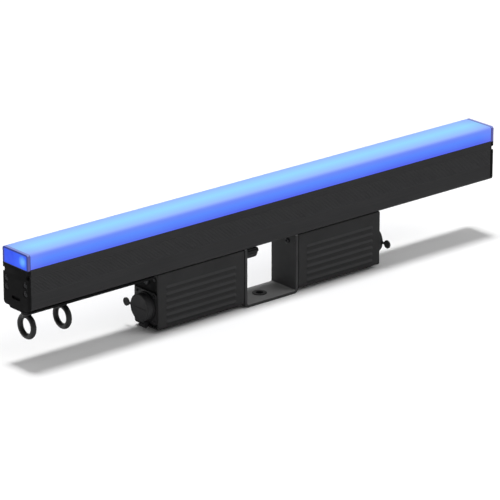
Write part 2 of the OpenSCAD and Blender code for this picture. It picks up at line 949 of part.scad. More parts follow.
// Washers that fill the gap between the yoke's legs and the cases
module yoke_spacers() {
    gap = case_start - leg_out;
    color("#6a6b6e") for (s = [-1, 1]) {
        x0 = s > 0 ? leg_out : -case_start;
        r = (s > 0 ? bolt_r : stud_r) + running_gap;
        difference() {
            rod_x(x0, x0 + gap, 8, grip_y, grip_z);
            rod_x(x0 - 1, x0 + gap + 1, r, grip_y, grip_z);
        }
    }
}

module yoke_dowels() {
    color("#0f0f10") for (s = [-1, 1]) {
        x0 = s > 0 ? leg_in + 0.5 : -case_start - inner_wall;
        rod_x(x0, x0 + case_start + inner_wall - leg_in - 0.5, dowel_r, dowel_y, dowel_z);
    }
}

module knob() {
    x0 = -leg_in + washer_t;
    color("#171719") difference() {
        union() {
            rod_x(x0, x0 + knob_l, knob_r, grip_y, grip_z);
            rod_x(x0 + knob_l - eps, x0 + knob_l + knob_nose_l, 4.5, grip_y, grip_z);
        }
        for (i = [0 : flute_count - 1])
            rod_x(x0 + 5, x0 + knob_l + 1, 1.1, grip_y + (knob_r + 0.3) * cos(i * 360 / flute_count),
                grip_z + (knob_r + 0.3) * sin(i * 360 / flute_count));
        rod_x(x0 - 1, x0 + 14, stud_r, grip_y, grip_z);
    }
}

module knob_stud() {
    color("#9a9ca0") rod_x(-case_start - inner_wall - 5, -leg_in + washer_t + 14, stud_r, grip_y, grip_z);
}

module knob_washer() {
    color("#8a8c90") difference() {
        rod_x(-leg_in, -leg_in + washer_t, 9, grip_y, grip_z);
        rod_x(-leg_in - 1, -leg_in + washer_t + 1, stud_r + running_gap, grip_y, grip_z);
    }
}

body_extrusion();
diffuser();
led_board_left();
led_board_right();
led_emitters();
led_board_screws();
end_gasket_left();
end_gasket_right();
end_plate_left();
end_plate_right();
end_window_left();
end_window_right();
end_screws_left();
end_screws_right();
end_washers();
rigging_plate();
rigging_screws();
backing_bar();
eyebolt_outer();
eyebolt_inner();
eyebolt_nuts();
case_left();
case_right();
case_gasket_left();
case_gasket_right();
case_screws();
socket_plate_left();
socket_plate_right();
plate_screws();
connector_left();
connector_right();
insert_left();
insert_right();
contacts();
connector_screws();
cap_left();
cap_right();
cap_seal_left();
cap_seal_right();
cap_pins();
vents();
psu_board();
psu_parts();
driver_board();
driver_parts();
standoffs();
loom_left();
loom_right();
loom_link();
grommets();
yoke();
yoke_bush();
yoke_bolt();
yoke_spacers();
yoke_dowels();
knob();
knob_stud();
knob_washer();
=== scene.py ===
import json
import math

import bmesh
import bpy
from mathutils import Matrix, Vector


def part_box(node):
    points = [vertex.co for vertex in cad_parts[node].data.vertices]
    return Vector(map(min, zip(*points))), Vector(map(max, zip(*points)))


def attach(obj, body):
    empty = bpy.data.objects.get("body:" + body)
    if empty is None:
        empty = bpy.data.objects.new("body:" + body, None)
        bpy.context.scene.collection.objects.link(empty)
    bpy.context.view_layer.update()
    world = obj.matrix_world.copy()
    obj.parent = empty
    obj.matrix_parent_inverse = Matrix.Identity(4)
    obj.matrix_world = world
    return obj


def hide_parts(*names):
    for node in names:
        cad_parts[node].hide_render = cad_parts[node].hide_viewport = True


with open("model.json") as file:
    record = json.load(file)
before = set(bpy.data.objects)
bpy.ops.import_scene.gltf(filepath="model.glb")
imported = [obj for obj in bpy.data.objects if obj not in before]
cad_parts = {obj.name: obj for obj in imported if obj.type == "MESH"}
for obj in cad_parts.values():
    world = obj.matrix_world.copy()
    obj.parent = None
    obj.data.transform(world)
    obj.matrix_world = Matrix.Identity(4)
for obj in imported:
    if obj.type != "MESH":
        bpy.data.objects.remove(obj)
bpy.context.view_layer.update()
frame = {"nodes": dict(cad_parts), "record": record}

# LED strip batten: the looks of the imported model. Everything is in metres, in the row frame.

scene = bpy.context.scene
MM = 0.001
ROOT = "batten"

# ---------------------------------------------------------------- places, taken from the frame


def low(node):
    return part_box(node)[0]


def high(node):
    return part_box(node)[1]


def mid(node):
    return (low(node) + high(node)) / 2


BODY_Z = low("body_extrusion").z
COVER_Z = high("body_extrusion").z
TOP_Z = high("diffuser").z
HALF_W = high("body_extrusion").y
HALF_L = high("end_plate_right").x
SOCKET_Z = mid("cap_seal_right").z
BAND_LOW = BODY_Z + 28.2 * MM
BAND_HIGH = BODY_Z + 56.8 * MM

# ---------------------------------------------------------------- camera


def add_camera():
    """The view from the front left, slightly above, through a long lens."""
    azimuth = math.radians(-40.74)
    elevation = math.radians(19.57)
    distance = 6.05
    aim = Vector((-0.0162, 0.0052, 0.0823))
    back = Vector((math.sin(azimuth) * math.cos(elevation),
                   -math.cos(azimuth) * math.cos(elevation),
                   math.sin(elevation)))
    data = bpy.data.cameras.new("camera")
    data.sensor_width = 36
    data.lens = 265.6
    data.clip_start = 0.1
    data.clip_end = 60
    camera = bpy.data.objects.new("camera", data)
    scene.collection.objects.link(camera)
    camera.location = Vector((0, 0, BODY_Z)) + back * distance
    camera.rotation_mode = "QUATERNION"
    camera.rotation_quaternion = (aim - camera.location).to_track_quat("-Z", "Y")
    scene.camera = camera


add_camera()

# ---------------------------------------------------------------- materials


class Shader:
    """A Principled material with short helpers for its texture nodes."""

    def __init__(self, name, colour, roughness=0.5, metallic=0.0, **sockets):
        self.mat = bpy.data.materials.new(name)
        self.mat.use_nodes = True
        self.nodes = self.mat.node_tree.nodes
        self.links = self.mat.node_tree.links
        self.bsdf = self.nodes["Principled BSDF"]
        self.bsdf.inputs["Base Color"].default_value = (*colour, 1)
        self.bsdf.inputs["Roughness"].default_value = roughness
        self.bsdf.inputs["Metallic"].default_value = metallic
        for socket, value in sockets.items():
            self.bsdf.inputs[socket.replace("_", " ")].default_value = value
        self.place = self.nodes.new("ShaderNodeTexCoord").outputs["Object"]

    @classmethod
    def of(cls, mat):
        """Opens a finished material again to add to it."""
        shader = cls.__new__(cls)
        shader.mat = mat
        shader.nodes = mat.node_tree.nodes
        shader.links = mat.node_tree.links
        shader.bsdf = shader.nodes["Principled BSDF"]
        shader.place = shader.nodes.new("ShaderNodeTexCoord").outputs["Object"]
        return shader

    def stretched(self, stretch):
        node = self.nodes.new("ShaderNodeMapping")
        node.inputs["Scale"].default_value = stretch
        self.links.new(self.place, node.inputs["Vector"])
        return node.outputs["Vector"]

    def noise(self, scale, detail=3, stretch=(1, 1, 1)):
        node = self.nodes.new("ShaderNodeTexNoise")
        node.inputs["Scale"].default_value = scale
        node.inputs["Detail"].default_value = detail
        self.links.new(self.stretched(stretch), node.inputs["Vector"])
        return node.outputs["Fac"]

    def cells(self, scale):
        node = self.nodes.new("ShaderNodeTexVoronoi")
        node.inputs["Scale"].default_value = scale
        self.links.new(self.place, node.inputs["Vector"])
        return node.outputs["Distance"]

    def range(self, value, low_in, high_in, low_out, high_out, smooth=False):
        node = self.nodes.new("ShaderNodeMapRange")
        node.interpolation_type = "SMOOTHSTEP" if smooth else "LINEAR"
        for name, number in zip(("From Min", "From Max", "To Min", "To Max"),
                                (low_in, high_in, low_out, high_out)):
            node.inputs[name].default_value = number
        self.links.new(value, node.inputs["Value"])
        return node.outputs["Result"]

    def ramp(self, value, stops):
        node = self.nodes.new("ShaderNodeValToRGB")
        points = node.color_ramp.elements
        while len(points) < len(stops):
            points.new(0.5)
        for point, (where, colour) in zip(points, stops):
            point.position = where
            point.color = (*colour, 1)
        self.links.new(value, node.inputs["Fac"])
        return node.outputs["Color"]

    def blend(self, value, first, second):
        """Mixes two colours, each a linked output or a plain colour."""
        node = self.nodes.new("ShaderNodeMix")
        node.data_type = "RGBA"
        self.links.new(value, node.inputs["Factor"])
        for name, colour in (("A", first), ("B", second)):
            socket = next(s for s in node.inputs if s.name == name and s.type == "RGBA")
            if isinstance(colour, tuple):
                socket.default_value = (*colour, 1)
            else:
                self.links.new(colour, socket)
        return next(s for s in node.outputs if s.type == "RGBA")

    def math(self, operation, *values):
        node = self.nodes.new("ShaderNodeMath")
        node.operation = operation
        for socket, value in zip(node.inputs, values):
            if isinstance(value, (int, float)):
                socket.default_value = value
            else:
                self.links.new(value, socket)
        return node.outputs["Value"]

    def axes(self, coordinate="Object"):
        """The three parts of the place on the object, or of its Normal."""
        node = self.nodes.new("ShaderNodeSeparateXYZ")
        self.links.new(self.place.node.outputs[coordinate], node.inputs["Vector"])
        return node.outputs

    def colour(self, output):
        self.links.new(output, self.bsdf.inputs["Base Color"])

    def rough(self, output):
        self.links.new(output, self.bsdf.inputs["Roughness"])

    def bump(self, output, strength, distance):
        node = self.nodes.new("ShaderNodeBump")
        node.inputs["Strength"].default_value = strength
        node.inputs["Distance"].default_value = distance
        self.links.new(output, node.inputs["Height"])
        self.links.new(node.outputs["Normal"], self.bsdf.inputs["Normal"])

    def glow(self, output, strength):
        self.links.new(output, self.bsdf.inputs["Emission Color"])
        self.bsdf.inputs["Emission Strength"].default_value = strength


def shade(colour, factor):
    return tuple(c * factor for c in colour)


def anodised(name, colour):
    """Satin anodised extrusion: fine drawing lines along X and a faint cloudiness."""
    s = Shader(name, colour, roughness=0.42, Specular_IOR_Level=0.06)
    clouds = s.noise(18, 4, (0.25, 1, 1))
    lines = s.noise(900, 2, (0.006, 1, 1))
    plain = s.blend(s.range(s.math("MULTIPLY", clouds, lines), 0.12, 0.4, 0, 1),
                    shade(colour, 0.86), shade(colour, 1.12))
    # The grooved band is painted paler all over: a painted highlight that offsets the shade in its grooves
    z = s.axes()[2]
    above = s.range(z, BAND_LOW - 0.2 * MM, BAND_LOW + 0.2 * MM, 0, 1)
    below = s.range(z, BAND_HIGH - 0.2 * MM, BAND_HIGH + 0.2 * MM, 1, 0)
    s.colour(s.blend(s.math("MULTIPLY", above, below), plain, shade(colour, 1.6)))
    s.rough(s.range(lines, 0.3, 0.7, 0.36, 0.5))
    s.bump(lines, 0.25, 0.00005)
    return s.mat


def powder_coat(name, colour, grain=1400, gloss=0.06):
    """Fine orange-peel powder coat, a little glossier where hands and cases rub it."""
    s = Shader(name, colour, roughness=0.5, Specular_IOR_Level=gloss)
    peel = s.noise(grain, 2)
    wear_and_highlight = s.noise(26, 5)
    s.colour(s.blend(s.range(wear_and_highlight, 0.35, 0.7, 0, 1), shade(colour, 0.88), shade(colour, 1.15)))
    s.rough(s.range(wear_and_highlight, 0.3, 0.7, 0.42, 0.6))
    s.bump(peel, 0.35, 0.00012)
    return s.mat


def sheen_painted_coat(name, colour):
    """Powder coat of the yoke, painted paler on the faces that look up: a painted reflection of the bright
    surroundings.
    """
    mat = powder_coat(name, colour, 1100)
    s = Shader.of(mat)
    upward_sheen = s.range(s.axes("Normal")[2], 0.4, 0.95, 0, 1, True)
    coat = s.bsdf.inputs["Base Color"].links[0].from_socket
    # Painted reflection: faces that look up are painted paler
    s.colour(s.blend(upward_sheen, coat, (0.22, 0.22, 0.22)))
    return mat


def slope_lit_coat(name, colour):
    """Powder coat of the ribbed cases, with a painted highlight on the upper slopes of the ribs and painted shade
    below them.
    """
    mat = powder_coat(name, colour)
    s = Shader.of(mat)
    nz = s.axes("Normal")[2]
    coat = s.bsdf.inputs["Base Color"].links[0].from_socket
    # Painted highlight: rib slopes that face up are painted paler
    wear_and_highlight = s.blend(s.range(nz, 0.02, 0.2, 0, 1, True), coat, shade(colour, 1.6))
    # Painted shade: rib slopes that face down are painted darker
    s.colour(s.blend(s.range(nz, -0.2, -0.02, 0.8, 0, True), wear_and_highlight, shade(colour, 0.6)))
    return mat


def lit_plate_coat(name, colour):
    """Coat of the end plates: beside the cover its edges catch the light that leaks out."""
    mat = powder_coat(name, colour, 1800, 0.03)
    s = Shader.of(mat)
    z = s.axes()[2]
    nx, ny, nz = s.axes("Normal")
    edge = s.blend(s.range(s.math("ABSOLUTE", nx), 0.3, 0.75, 0, 1, True), (0.114, 0.107, 0.328),
                   (0.034, 0.052, 0.28))
    hue = s.blend(s.range(nz, 0.3, 0.75, 0, 1, True), edge, (0.25, 0.29, 0.66))
    shown = s.range(z, COVER_Z - 2 * MM, COVER_Z + 0.5 * MM, 0, 1, True)
    s.glow(s.blend(shown, (0.0, 0.0, 0.0), hue), 1)
    return mat


def moulded(name, colour, roughness=0.5, grain=2200, depth=0.00005):
    """Injection-moulded plastic with a spark-eroded grain."""
    s = Shader(name, colour, roughness=roughness, Specular_IOR_Level=0.25)
    pits = s.cells(grain)
    flow = s.noise(40, 3)
    s.colour(s.blend(s.range(flow, 0.3, 0.7, 0, 1), shade(colour, 0.9), shade(colour, 1.1)))
    s.rough(s.range(flow, 0.3, 0.7, roughness - 0.07, roughness + 0.08))
    s.bump(pits, 0.4, depth)
    return s.mat


def rubber(name, colour):
    """Matt rubber with a dusty bloom in broad patches."""
    s = Shader(name, colour, roughness=0.68, Specular_IOR_Level=0.25)
    bloom = s.noise(60, 6)
    s.colour(s.blend(s.range(bloom, 0.45, 0.75, 0, 1), colour, shade(colour, 1.5)))
    s.rough(s.range(bloom, 0.3, 0.7, 0.6, 0.8))
    s.bump(s.noise(2600, 2), 0.3, 0.00006)
    return s.mat


def steel(name, colour, roughness=0.34, lines=(1, 1, 1)):
    """Plated or blackened steel with tool marks."""
    s = Shader(name, colour, roughness=roughness, metallic=0.9)
    marks = s.noise(700, 3, lines)
    s.colour(s.blend(s.range(marks, 0.3, 0.7, 0, 1), shade(colour, 0.8), shade(colour, 1.2)))
    s.rough(s.range(marks, 0.3, 0.7, roughness - 0.08, roughness + 0.12))
    s.bump(marks, 0.2, 0.00005)
    return s.mat


def forged(name, colour):
    """Black coated forging: soft dents from the die under a semi-gloss coat."""
    s = Shader(name, colour, roughness=0.36, metallic=0.3, Specular_IOR_Level=0.35)
    dents = s.noise(160, 3)
    skin = s.noise(1800, 2)
    s.colour(s.blend(s.range(dents, 0.3, 0.7, 0, 1), shade(colour, 0.8), shade(colour, 1.3)))
    s.rough(s.range(dents, 0.3, 0.7, 0.28, 0.46))
    s.bump(s.math("MULTIPLY_ADD", skin, 0.2, dents), 0.35, 0.0003)
    return s.mat


def lit_cover(name):
    """Opal cover lit from inside: sky blue over the lights, deeper blue down its sides."""
    s = Shader(name, (0.01, 0.02, 0.04), roughness=0.4, Specular_IOR_Level=0.08)
    x, y, z = s.axes()
    top = s.ramp(s.range(s.math("ABSOLUTE", y), 0, HALF_W, 0, 1), (
        (0.0, (0.3, 0.69, 0.96)), (0.25, (0.305, 0.64, 0.98)), (0.5, (0.31, 0.575, 1.0)),
        (0.8, (0.31, 0.49, 1.0)), (1.0, (0.27, 0.36, 0.95))))
    side = s.ramp(s.range(z, COVER_Z, TOP_Z, 0, 1), (
        (0.0, (0.082, 0.1, 0.87)), (0.14, (0.082, 0.13, 0.9)), (0.27, (0.084, 0.17, 0.94)),
        (0.54, (0.092, 0.225, 1.0)), (0.82, (0.135, 0.225, 0.96)), (1.0, (0.24, 0.34, 0.97))))
    on_top = s.range(z, TOP_Z - 2 * MM, TOP_Z - 0.3 * MM, 0, 1, True)
    clouds = s.noise(9, 3, (0.6, 2, 2))
    hue = s.blend(on_top, side, top)
    soft = s.blend(s.range(clouds, 0.3, 0.7, 0, 0.08), hue, (0.2, 0.62, 1.0))
    # Towards both ends the light falls off a little
    fade = s.range(s.math("ABSOLUTE", x), HALF_L - 0.04, HALF_L, 0, 0.25, True)
    s.glow(s.blend(fade, soft, (0.24, 0.27, 0.95)), 0.96)
    s.bump(s.noise(700, 2), 0.15, 0.00006)
    return s.mat


def lit_window(name, spot):
    """End window: saturated blue, with the last light showing as a cyan spot."""
    s = Shader(name, (0.01, 0.02, 0.05), roughness=0.25, Specular_IOR_Level=0.08)
    node = s.nodes.new("ShaderNodeVectorMath")
    node.operation = "DISTANCE"
    node.inputs[1].default_value = spot
    s.links.new(s.place, node.inputs[0])
    near = s.ramp(s.range(node.outputs["Value"], 0, 0.026, 0, 1), (
        (0.0, (0.17, 0.52, 1.0)), (0.14, (0.14, 0.44, 1.0)), (0.4, (0.035, 0.12, 1.0)),
        (1.0, (0.026, 0.08, 0.88))))
    ripple = s.noise(130, 3, (1, 1, 0.6))
    s.glow(s.blend(s.range(ripple, 0.4, 0.7, 0, 0.3), near, (0.045, 0.12, 0.98)), 0.95)
    s.bump(ripple, 0.2, 0.0003)
    return s.mat


def board(name, mask, copper):
    """Printed board: solder mask with faint tracks under it."""
    s = Shader(name, mask, roughness=0.35)
    brick = s.nodes.new("ShaderNodeTexBrick")
    brick.inputs["Scale"].default_value = 90
    brick.inputs["Mortar Size"].default_value = 0.012
    brick.inputs["Color1"].default_value = (*mask, 1)
    brick.inputs["Color2"].default_value = (*shade(mask, 0.85), 1)
    brick.inputs["Mortar"].default_value = (*copper, 1)
    s.links.new(s.place, brick.inputs["Vector"])
    s.colour(brick.outputs["Color"])
    s.bump(brick.outputs["Fac"], 0.2, 0.00003)
    return s.mat


mats = {
    "body_black": anodised("anodised_black", (0.03, 0.03, 0.031)),
    "case_black": slope_lit_coat("case_coat", (0.027, 0.027, 0.0275)),
    "plate_black": lit_plate_coat("plate_coat", (0.006, 0.006, 0.0062)),
    "yoke_black": sheen_painted_coat("yoke_coat", (0.044, 0.044, 0.045)),
    "cover_milky": lit_cover("lit_cover"),
    "window_blue": lit_window("lit_window", Vector((-HALF_L, -0.0175, COVER_Z + 0.0112))),
    "board_white": board("board_white", (0.78, 0.79, 0.77), (0.55, 0.56, 0.55)),
    "emitter": moulded("emitter_lens", (0.85, 0.78, 0.4), 0.2),
    "gasket_rubber": rubber("gasket_rubber", (0.01, 0.01, 0.01)),
    "screw_black": steel("screw_black", (0.03, 0.03, 0.032), 0.36),
    "screw_steel": steel("screw_steel", (0.42, 0.42, 0.44), 0.28),
    "eyebolt_black": forged("eyebolt_coat", (0.009, 0.009, 0.0095)),
    "connector_black": moulded("nylon_black", (0.009, 0.009, 0.01), 0.48),
    "insert_grey": moulded("insert_grey", (0.5, 0.5, 0.48), 0.5),
    "contact_gold": steel("contact_gold", (0.8, 0.55, 0.18), 0.2),
    "cap_rubber": rubber("cap_rubber", (0.018, 0.018, 0.019)),
    "seal_red": rubber("seal_red", (0.2, 0.04, 0.035)),
    "board_green": board("board_green", (0.015, 0.14, 0.05), (0.05, 0.22, 0.08)),
    "board_blue": board("board_blue", (0.012, 0.05, 0.16), (0.04, 0.12, 0.26)),
    "parts_mixed": moulded("parts_mixed", (0.3, 0.22, 0.07), 0.45),
    "parts_dark": moulded("parts_dark", (0.03, 0.03, 0.03), 0.4),
    "wire_red": rubber("wire_red", (0.3, 0.02, 0.02)),
    "wire_blue": rubber("wire_blue", (0.02, 0.05, 0.24)),
    "knob_plastic": moulded("knob_plastic", (0.006, 0.006, 0.0065), 0.45),
}

for row in frame["record"]["subparts"]:
    cad = frame["nodes"][row["node"]]
    cad.data.materials.clear()
    cad.data.materials.append(mats[row["material_slot"]])
    cad.data.shade_smooth()
    cad.data.set_sharp_from_angle(angle=math.radians(30))

# ---------------------------------------------------------------- shape tools


def circle(radius, x=0.0, y=0.0, points=40):
    turn = 2 * math.pi / points
    return [(x + radius * math.cos(i * turn), y + radius * math.sin(i * turn)) for i in range(points)]


def rounded(corners, points=5):
    """Outline through (x, y, radius) corners, with an arc at each corner that has a radius."""
    outline = []
    for i, (x, y, radius) in enumerate(corners):
        here = Vector((x, y))
        if radius <= 0:
            outline.append((x, y))
            continue
        back = (Vector(corners[i - 1][:2]) - here).normalized()
        ahead = (Vector(corners[(i + 1) % len(corners)][:2]) - here).normalized()
        half = back.angle(ahead) / 2
        centre = here + (back + ahead).normalized() * (radius / math.sin(half))
        first = here + back * (radius / math.tan(half)) - centre
        last = here + ahead * (radius / math.tan(half)) - centre
        sweep = math.copysign(first.angle(last), first.x * last.y - first.y * last.x)
        for k in range(points + 1):
            a = sweep * k / points
            outline.append((centre.x + first.x * math.cos(a) - first.y * math.sin(a),
                            centre.y + first.x * math.sin(a) + first.y * math.cos(a)))
    return outline


def stadium(reach, radius, points=12):
    """Slot with round ends, centred on the origin."""
    turns = [math.pi * (k / points - 0.5) for k in range(points + 1)]
    right = [(reach + radius * math.cos(a), radius * math.sin(a)) for a in turns]
    return right + [(-x, -y) for x, y in right]


def panel(width, bottom, top, r_bottom, r_top, points=6):
    """Upright rounded rectangle, centred on x = 0."""
    half = width / 2
    return rounded([(-half, bottom, r_bottom), (half, bottom, r_bottom),
                    (half, top, r_top), (-half, top, r_top)], points)


def bevelled(bm, width, angle=40, segments=2):
    if width > 0:
        edges = [e for e in bm.edges if e.is_manifold and e.calc_face_angle(0) > math.radians(angle)]
        bmesh.ops.bevel(bm, geom=edges, offset=width, segments=segments, profile=0.5,
                        affect="EDGES", clamp_overlap=True)
    return bm


def sheet(loops, thickness, bevel=0.0, segments=2):
    """Flat part from an outline and its holes, from z = 0 up to its thickness."""
    bm = bmesh.new()
    edges = []
    for loop in loops:
        verts = [bm.verts.new((x, y, 0)) for x, y in loop]
        edges += [bm.edges.new((verts[i - 1], verts[i])) for i in range(len(verts))]
    bmesh.ops.triangle_fill(bm, use_beauty=True, use_dissolve=False, edges=edges, normal=(0, 0, 1))
    raised = bmesh.ops.extrude_face_region(bm, geom=bm.faces[:])
    bmesh.ops.translate(bm, verts=[v for v in raised["geom"] if isinstance(v, bmesh.types.BMVert)],
                        vec=(0, 0, thickness))
    bmesh.ops.recalc_face_normals(bm, faces=bm.faces)
    return bevelled(bm, bevel, 60, segments)


def turned(loop, steps=64):
    """Part turned about the z axis from a closed loop of (radius, height) points."""
    bm = bmesh.new()
    rings = []
    for k in range(steps):
        a = 2 * math.pi * k / steps
        rings.append([bm.verts.new((r * math.cos(a), r * math.sin(a), h)) for r, h in loop])
    for k in range(steps):
        this, after = rings[k], rings[(k + 1) % steps]
        for i in range(len(loop)):
            if loop[i - 1][0] > 0 or loop[i][0] > 0:
                bm.faces.new((this[i - 1], this[i], after[i], after[i - 1]))
    bmesh.ops.remove_doubles(bm, verts=bm.verts, dist=1e-7)
    bmesh.ops.delete(bm, geom=[e for e in bm.edges if not e.link_faces], context="EDGES")
    bmesh.ops.recalc_face_normals(bm, faces=bm.faces)
    return bm


def disc(radius, thickness, edge, inner=0.0, points=4):
    """Loop for a turned disc or ring with rounded outer edges."""
    corners = [(inner, 0, 0), (radius, 0, edge), (radius, thickness, edge), (inner, thickness, 0)]
    return rounded(corners, points)


FACING_X = Matrix(((0, 0, 1, 0), (1, 0, 0, 0), (0, 1, 0, 0), (0, 0, 0, 1)))
FACING_Y = Matrix(((1, 0, 0, 0), (0, 0, -1, 0), (0, 1, 0, 0), (0, 0, 0, 1)))
HALF_TURN = Matrix.Rotation(math.pi, 4, "Z")
FACING_DOWN = Matrix.Rotation(math.pi, 4, "X")
SAME = Matrix.Identity(4)
SIDES = {"right": SAME, "left": HALF_TURN}


def at(x, y, z):
    return Matrix.Translation((x, y, z))


def gather(parts):
    """One mesh from (bmesh, placement) pairs."""
    whole = bmesh.new()
    for bm, place in parts:
        mesh = bpy.data.meshes.new("part")
        bm.to_mesh(mesh)
        mesh.transform(place)
        whole.from_mesh(mesh)
        bpy.data.meshes.remove(mesh)
    return whole


def loose(bm, place=SAME):
    """A working object that isn't part of the model, for boolean cuts."""
    mesh = bpy.data.meshes.new("tool")
    bm.to_mesh(mesh)
    mesh.transform(place)
    obj = bpy.data.objects.new("tool", mesh)
    scene.collection.objects.link(obj)
    return obj


def evaluated(obj):
    """The object's mesh with its modifiers, as a bmesh; the object is removed."""
    bpy.context.view_layer.update()
    depsgraph = bpy.context.evaluated_depsgraph_get()
    mesh = bpy.data.meshes.new_from_object(obj.evaluated_get(depsgraph))
    bm = bmesh.new()
    bm.from_mesh(mesh)
    bpy.data.meshes.remove(mesh)
    bpy.data.objects.remove(obj)
    return bm


def carved(bm, cutters, operation="DIFFERENCE"):
    """bm with each (bmesh, placement) cutter taken away or added, exactly."""
    obj = loose(bm)
    tools = []
    for cutter, place in cutters:
        tool = loose(cutter, place)
        modifier = obj.modifiers.new("cut", "BOOLEAN")
        modifier.operation = operation
        modifier.solver = "EXACT"
        modifier.object = tool
        tools.append(tool)
    result = evaluated(obj)
    for tool in tools:
        bpy.data.objects.remove(tool)
    return result


def piece(name, bm, material, body=ROOT, stands_for=(), place=SAME, sharp=35):
    """Adds a finished piece that rides on a body and takes a material slot."""
    mesh = bpy.data.meshes.new(name)
    bmesh.ops.remove_doubles(bm, verts=bm.verts, dist=1e-6)
    bmesh.ops.dissolve_degenerate(bm, edges=bm.edges, dist=1e-6)
    bm.to_mesh(mesh)
    bm.free()
    mesh.transform(place)
    mesh.materials.append(mats[material])
    mesh.shade_smooth()
    mesh.set_sharp_from_angle(angle=math.radians(sharp))
    obj = bpy.data.objects.new(name, mesh)
    scene.collection.objects.link(obj)
    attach(obj, body)
    if stands_for:
        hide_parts(*stands_for)
    return obj


def screw_head(radius, height, socket):
    """Domed cap head on z = 0 with a hexagon socket."""
    profile = rounded([(0, 0, 0), (radius, 0, 0.12 * MM), (radius, height * 0.62, 0),
                       (radius * 0.72, height, 0.3 * MM), (0, height, 0)], 3)
    cutter = sheet([circle(socket, points=6)], height, 0)
    return carved(turned(profile, 32), [(cutter, at(0, 0, height * 0.45))])


def screw(radius, length, head_r, head_h):
    """Screw with its head on z = 0 and its plain shank below."""
    shank = turned(rounded([(0, -length, 0), (radius, -length, 0.4 * MM), (radius, 0.1 * MM, 0),
                            (0, 0.1 * MM, 0)], 2), 20)
    return gather([(screw_head(head_r, head_h, radius * 0.85), SAME), (shank, SAME)])


# ---------------------------------------------------------------- end plates

END_T = high("end_plate_right").x - low("end_plate_right").x
RIM = 3 * MM
NOTCH_Z = BODY_Z + 57.2 * MM
SCREW_Y = 24.5 * MM
SCREW_HEIGHTS = (BODY_Z + 29.3 * MM, BODY_Z + 43.5 * MM)
END_HOLES = [(side * SCREW_Y, z) for side in (-1, 1) for z in SCREW_HEIGHTS]
RECESS = 2.4 * MM
WASHER_T = 0.8 * MM


def end_outline():
    """Rounded upright plate with a notch in each long edge."""
    low_notch, high_notch = NOTCH_Z - 3.25 * MM, NOTCH_Z + 3.25 * MM
    floor = HALF_W - 4 * MM
    r = 0.9 * MM
    right = [(HALF_W, BODY_Z, 6 * MM), (HALF_W, low_notch, r), (floor, low_notch, r),
             (floor, high_notch, r), (HALF_W, high_notch, r), (HALF_W, TOP_Z, 4 * MM)]
    left = [(-x, y, corner) for x, y, corner in reversed(right)]
    return rounded(right + left)


def window_outline(gap=0.0):
    return panel(2 * (HALF_W - RIM - gap), COVER_Z - 1 * MM + gap, TOP_Z - RIM - gap, 1.5 * MM, 2 * MM)


def end_plate():
    plate = sheet([end_outline(), window_outline()], END_T, 0.4 * MM, 3)
    # Screw hole and recess in one cutter, which flares at the plate's face and so leaves a small chamfer
    recess = [(0, -END_T), (2.4 * MM, -END_T), (2.4 * MM, 0), (5.5 * MM, 0), (5.5 * MM, RECESS - 0.25 * MM),
              (6 * MM, RECESS + 0.25 * MM), (0, RECESS + 0.25 * MM)]
    cutters = [(turned(recess, 40), at(y, z, END_T - RECESS)) for y, z in END_HOLES]
    cutters.append((sheet([stadium(8 * MM, 2.8 * MM)], 4 * MM), at(0, BODY_Z + 16 * MM, END_T - 3 * MM)))
    return carved(plate, cutters)


def end_washer():
    """Cup washer: dished towards the screw, with a rolled outer edge."""
    return turned(rounded([(2.3 * MM, 0, 0), (5.4 * MM, 0, 0.2 * MM), (5.4 * MM, WASHER_T * 1.9, 0.3 * MM),
                           (4.7 * MM, WASHER_T * 1.9, 0.3 * MM), (3.9 * MM, WASHER_T, 0.2 * MM),
                           (2.3 * MM, WASHER_T, 0)], 3), 48)


for side, turn in SIDES.items():
    face = turn @ at(HALF_L - END_T, 0, 0) @ FACING_X
    piece("end_plate_" + side + "_shaped", end_plate(), "plate_black",
          stands_for=["end_plate_" + side], place=face)
    piece("end_window_" + side + "_lens", sheet([window_outline(0.05 * MM)], 4 * MM, 0.5 * MM, 3),
          "window_blue", stands_for=["end_window_" + side], place=face)
    heads = [(screw(2 * MM, 22 * MM, 3.6 * MM, RECESS - WASHER_T), at(y, z, END_T - RECESS + WASHER_T))
             for y, z in END_HOLES]
    piece("end_screws_" + side + "_headed", gather(heads), "screw_black",
          stands_for=["end_screws_" + side], place=face)

piece("end_washers_cupped", gather([(end_washer(), turn @ at(HALF_L - END_T, 0, 0) @ FACING_X
                                     @ at(y, z, END_T - RECESS))
                                    for turn in SIDES.values() for y, z in END_HOLES]),
      "screw_black", stands_for=["end_washers"])

# ---------------------------------------------------------------- seal between body and cover


def cover_seal():
    """Two thin beads where the cover sits on the body."""
    bead = rounded([(0, -0.35 * MM, 0.1 * MM), (0.28 * MM, -0.35 * MM, 0.12 * MM),
                    (0.28 * MM, 0.35 * MM, 0.12 * MM), (0, 0.35 * MM, 0.1 * MM)], 3)
    length = high("body_extrusion").x - low("body_extrusion").x
    start = at(low("body_extrusion").x, HALF_W - 0.12 * MM, COVER_Z) @ FACING_X
    return gather([(sheet([bead], length), turn @ start) for turn in SIDES.values()])


piece("cover_seal", cover_seal(), "gasket_rubber")

# ---------------------------------------------------------------- rigging points


def chamfered_nut(radius, height, bore):
    """Hexagon nut whose corners are turned down at both faces."""
    cut, wide, rise = radius * 0.7, radius * 1.02, height * 0.16
    cone = [(0, -rise), (cut, -rise), (wide, rise), (wide, height - rise), (cut, height + rise),
            (0, height + rise)]
    nut = carved(sheet([circle(radius, points=6)], height), [(turned(cone, 48), SAME)], "INTERSECT")
    lead = bore * 0.12
    hole = [(0, -lead), (bore + 2 * lead, -lead), (bore, lead), (bore, height - lead),
            (bore + 2 * lead, height + lead), (0, height + lead)]
    return carved(nut, [(turned(hole, 40), SAME)])


